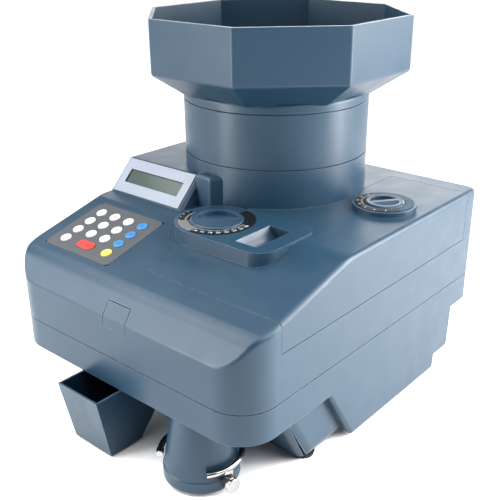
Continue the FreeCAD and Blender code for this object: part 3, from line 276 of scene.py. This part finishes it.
def make_materials():
    made = {
        "slate_plastic": moulded("slate_plastic", SLATE, 0.34, wear_and_sheen=SLATE_WEAR_AND_SHEEN),
        "hopper_plastic": moulded("hopper_plastic", SLATE, 0.36, wear_and_sheen=SLATE_WEAR_AND_SHEEN, edge=0.35),
        "silver_overlay": moulded("silver_overlay", rgb(0.21, 0.235, 0.28), 0.38, 0.00001),
        "display": moulded("display", rgb(0.043, 0.061, 0.053), 0.16, 0.0),
        "keypad_grey": moulded("keypad_grey", rgb(0.046, 0.050, 0.055), 0.45, 0.00001),
        "key_white": moulded("key_white", rgb(0.50, 0.51, 0.52), 0.35, 0.00001),
        "key_blue": moulded("key_blue", rgb(0.022, 0.145, 0.33), 0.35, 0.00001),
        "key_red": moulded("key_red", rgb(0.40, 0.024, 0.018), 0.35, 0.00001),
        "key_yellow": moulded("key_yellow", rgb(0.42, 0.38, 0.075), 0.35, 0.00001),
        "scale_black": moulded("scale_black", rgb(0.012, 0.014, 0.018), 0.38, 0.00001),
        "bright_steel": metal("bright_steel", rgb(0.40, 0.395, 0.385), 0.14),
        "rubber": moulded("rubber", rgb(0.012, 0.012, 0.013), 0.75, 0.00006),
        "aluminium": metal("aluminium", rgb(0.72, 0.73, 0.75), 0.36, (1, 30, 1)),
        "steel": metal("steel", rgb(0.50, 0.51, 0.53), 0.30, (1, 1, 25)),
        "disc_rubber": moulded("disc_rubber", rgb(0.02, 0.02, 0.022), 0.70, 0.00008),
        "board_green": moulded("board_green", rgb(0.01, 0.10, 0.035), 0.30, 0.00003),
        "black_plastic": moulded("black_plastic", rgb(0.010, 0.010, 0.012), 0.32,
                                 wear_and_sheen=rgb(0.08, 0.08, 0.09)),
        "iron": metal("iron", rgb(0.16, 0.155, 0.15), 0.50, grain=0.00004, scale=300),
    }
    return {slot: surface.material for slot, surface in made.items()}


def paint(thing, material):
    thing.data.materials.clear()
    thing.data.materials.append(material)


def paint_nodes(materials):
    for part in frame["record"]["subparts"]:
        paint(nodes[part["node"]], materials[part["material_slot"]])


def make_floor():
    mesh = bpy.data.meshes.new("floor")
    shape = bmesh.new()
    bmesh.ops.create_grid(shape, x_segments=4, y_segments=4, size=30.0)
    shape.to_mesh(mesh)
    shape.free()
    floor = bpy.data.objects.new("floor", mesh)
    bpy.context.scene.collection.objects.link(floor)
    surface = Surface("floor_paper", 0.8)
    surface.put(surface.shader.inputs["Base Color"],
                surface.mix(surface.noise(2, 2), rgb(0.92, 0.92, 0.92), rgb(0.94, 0.94, 0.94)))
    paint(floor, surface.material)


# ---------------------------------------------------------------- pieces

# SHIFT is the x of the housing's middle line, and FRONT the y that distances back are measured from.
SHIFT = 0.00195
FRONT = -0.195
PLATEAU, BROW = 0.2085, 0.1745
BEND_BACK, BROW_BACK, PAD_BACK = 0.145, 0.018, 0.073
SLOPE = math.atan2(PLATEAU - BROW, BEND_BACK - BROW_BACK)
SLOPE_TURN = Matrix.Rotation(SLOPE, 4, "X")
PAD_CENTRE = Vector((-0.0945 + SHIFT, FRONT + PAD_BACK, BROW + (PAD_BACK - BROW_BACK) * math.tan(SLOPE)))
KEY_ACROSS, KEY_ALONG = 0.0218, 0.0171
DIAL = (0.0085 + SHIFT, FRONT + 0.1365)
GAUGE = (0.1165 + SHIFT, FRONT + 0.282)
RING_THICK = 0.0006
PRINT_THICK = 0.00008
PRINT_BLACK = rgb(0.006, 0.007, 0.009)
LEGENDS = {
    "key_01": "7", "key_02": "8", "key_03": "9", "key_04": "F1",
    "key_05": "4", "key_06": "5", "key_07": "6", "key_08": "F2",
    "key_09": "1", "key_10": "2", "key_11": "3", "key_12": "F3",
    "key_13": "0", "key_14": "C E", "key_15": "C",
}


def linked(name, mesh, material):
    thing = bpy.data.objects.new(name, mesh)
    bpy.context.scene.collection.objects.link(thing)
    paint(thing, material)
    return thing


def lettering(name, text, size, depth):
    """Flat raised lettering as a mesh, centred on the origin."""
    curve = bpy.data.curves.new(name + "_curve", "FONT")
    curve.body = text
    curve.size = size
    curve.extrude = depth
    curve.align_x, curve.align_y = "CENTER", "CENTER"
    curve.resolution_u = 3
    holder = bpy.data.objects.new(name + "_holder", curve)
    bpy.context.scene.collection.objects.link(holder)
    bpy.context.view_layer.update()
    mesh = bpy.data.meshes.new_from_object(holder.evaluated_get(bpy.context.evaluated_depsgraph_get()))
    bpy.data.objects.remove(holder)
    bpy.data.curves.remove(curve)
    return mesh


def key_places():
    """Middle of every key on the slope: name to (u, v)."""
    places = {}
    for row in range(3):
        for column in range(4):
            key = "key_%02d" % (4 * row + column + 1)
            places[key] = ((column - 1.5) * KEY_ACROSS, (1.5 - row) * KEY_ALONG)
    places["key_13"] = (-1.5 * KEY_ACROSS, -1.5 * KEY_ALONG)
    places["key_14"] = (0.0, -1.5 * KEY_ALONG)
    places["key_15"] = (1.5 * KEY_ACROSS, -1.5 * KEY_ALONG)
    return places


def make_legends(ink):
    for key, (u, v) in key_places().items():
        mesh = lettering("legend_" + key, LEGENDS[key], 0.0052, PRINT_THICK / 2)
        place = Matrix.Translation(PAD_CENTRE) @ SLOPE_TURN @ Matrix.Translation((u, v, 0.00163))
        mesh.transform(place)
        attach(linked("legend_" + key, mesh, ink), key)


def bars(shape, centre, radius, length, width, angles):
    """Radial bars round a centre, added to a bmesh."""
    bar = Matrix.Translation((radius, 0, PRINT_THICK / 2)) @ Matrix.Diagonal((length, width, PRINT_THICK, 1.0))
    for degrees in angles:
        turn = Matrix.Translation(centre) @ Matrix.Rotation(math.radians(degrees), 4, "Z")
        bmesh.ops.create_cube(shape, size=1.0, matrix=turn @ bar)


def make_scale(name, centre, marks, numerals, radius, size, ink):
    """Printed scale on a knob's ring: ticks and numerals, just proud of the ring."""
    shape = bmesh.new()
    for at, length, width, angles in marks:
        bars(shape, centre, at, length, width, angles)
    for text, degrees in numerals:
        mesh = lettering(name + "_numeral", text, size, PRINT_THICK / 2)
        mesh.transform(Matrix.Translation(centre) @ Matrix.Rotation(math.radians(degrees), 4, "Z")
                       @ Matrix.Translation((radius, 0, PRINT_THICK / 2))
                       @ Matrix.Rotation(math.radians(90), 4, "Z"))
        shape.from_mesh(mesh)
        bpy.data.meshes.remove(mesh)
    merged = bpy.data.meshes.new(name)
    shape.to_mesh(merged)
    shape.free()
    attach(linked(name, merged, ink), "door")


def make_scales(ink):
    pedestal_rise, boss_rise = 0.0012, 0.005
    dial = Vector((*DIAL, PLATEAU + pedestal_rise + RING_THICK))
    fine = [272 + 3.5 * i for i in range(29)]
    marks = [(0.0308, 0.0016, 0.00045, fine), (0.0313, 0.0026, 0.0007, fine[::4]),
             (0.0318, 0.0020, 0.0005, [180 + 5 * i for i in range(9)]),
             (0.0385, 0.0014, 0.0007, [184 + 12 * i for i in range(4)])]
    numerals = [(str(14 + 2 * i), 276 + 13 * i) for i in range(8)]
    make_scale("dial_marks", dial, marks, numerals, 0.0362, 0.0050, ink)
    gauge = Vector((*GAUGE, PLATEAU + boss_rise + RING_THICK))
    marks = [(0.0240, 0.0014, 0.0004, [150 + 6 * i for i in range(31)])]
    numerals = [(str(i + 1), 160 + 24 * i) for i in range(7)]
    make_scale("gauge_marks", gauge, marks, numerals, 0.0281, 0.0042, ink)


def ring_material(name, centre, arcs, plain, printed, sector=None):
    """Ring coloured by the angle round its centre: printed inside the arcs, bare plastic elsewhere."""
    made = Surface(name, 0.45)
    made.shader.inputs["Specular IOR Level"].default_value = 0.07
    parts = made.add("ShaderNodeSeparateXYZ", Vector=made.place)

    def calc(kind, first, second=None):
        node = made.tree.nodes.new("ShaderNodeMath")
        node.operation = kind
        made.put(node.inputs[0], first)
        if second is not None:
            made.put(node.inputs[1], second)
        return node.outputs[0]

    across = calc("SUBTRACT", parts.outputs["X"], centre[0])
    along = calc("SUBTRACT", parts.outputs["Y"], centre[1])
    turn = calc("MULTIPLY", calc("ARCTAN2", along, across), 180 / math.pi)
    turn = calc("MODULO", calc("ADD", turn, 360.0), 360.0)

    def inside(start, end):
        return calc("MULTIPLY", calc("GREATER_THAN", turn, start), calc("LESS_THAN", turn, end))

    mask = inside(*arcs[0])
    for arc in arcs[1:]:
        mask = calc("MAXIMUM", mask, inside(*arc))
    tone = made.mix(mask, plain, printed)
    if sector is not None:
        tone = made.mix(inside(*sector[0]), tone, sector[1])
    speckle = made.span(made.noise(60, 3), 0, 0.03)
    made.put(made.shader.inputs["Base Color"], made.mix(speckle, tone, scaled(printed, 3)))
    made.put(made.shader.inputs["Roughness"], made.span(made.noise(38, 4), 0.36, 0.46))
    made.bump(made.noise(2400, 2), 0.00001, 0.5)
    return made.material


def make_lcd_shadow_strips(material):
    """Thin dark strips round the display's glass, set into the overlay's window: painted shadow of the
    overlay's edge, wider along the upper and left sides.
    """
    tilt = Matrix.Rotation(math.radians(45), 4, "X")
    turn = Matrix.Translation((-0.110 + SHIFT, FRONT + 0.150, PLATEAU)) @ tilt
    along = 0.0148
    shape = bmesh.new()
    for x, y, length, width in ((0, 0.00845, 0.0843, 0.0006), (0, -0.0086, 0.0843, 0.0003),
                                (-0.04185, 0, 0.0006, 0.0173), (0.0420, 0, 0.0003, 0.0173)):
        stretch = Matrix.Diagonal((length, width, 0.0008, 1))
        place = turn @ Matrix.Translation((x, along + y, 0.00045)) @ stretch
        bmesh.ops.create_cube(shape, size=1.0, matrix=place)
    mesh = bpy.data.meshes.new("lcd_shadow_strips")
    shape.to_mesh(mesh)
    shape.free()
    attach(linked("lcd_shadow_strips", mesh, material), "chassis")


def paint_scales():
    """Printed arcs of the two scale rings: angles in degrees round each ring's centre."""
    grey_sector = ((223, 270), rgb(0.11, 0.11, 0.11))
    paint(nodes["diameter_scale"], ring_material(
        "diameter_scale", DIAL, [(272, 360), (0, 80), (177, 221)], SLATE, PRINT_BLACK, grey_sector))
    paint(nodes["thickness_scale"], ring_material(
        "thickness_scale", GAUGE, [(146, 334)], SLATE, PRINT_BLACK))


make_camera()
make_lights()
paint_nodes(make_materials())
make_floor()
make_legends(moulded("legend_ink", rgb(0.035, 0.045, 0.06), 0.5, 0.0).material)
make_scales(moulded("scale_ink", rgb(0.50, 0.52, 0.54), 0.5, 0.0).material)
# Painted shadow round the display's glass.
make_lcd_shadow_strips(moulded("lcd_shadow_lip", rgb(0.012, 0.016, 0.02), 0.4, 0.0).material)
paint_scales()
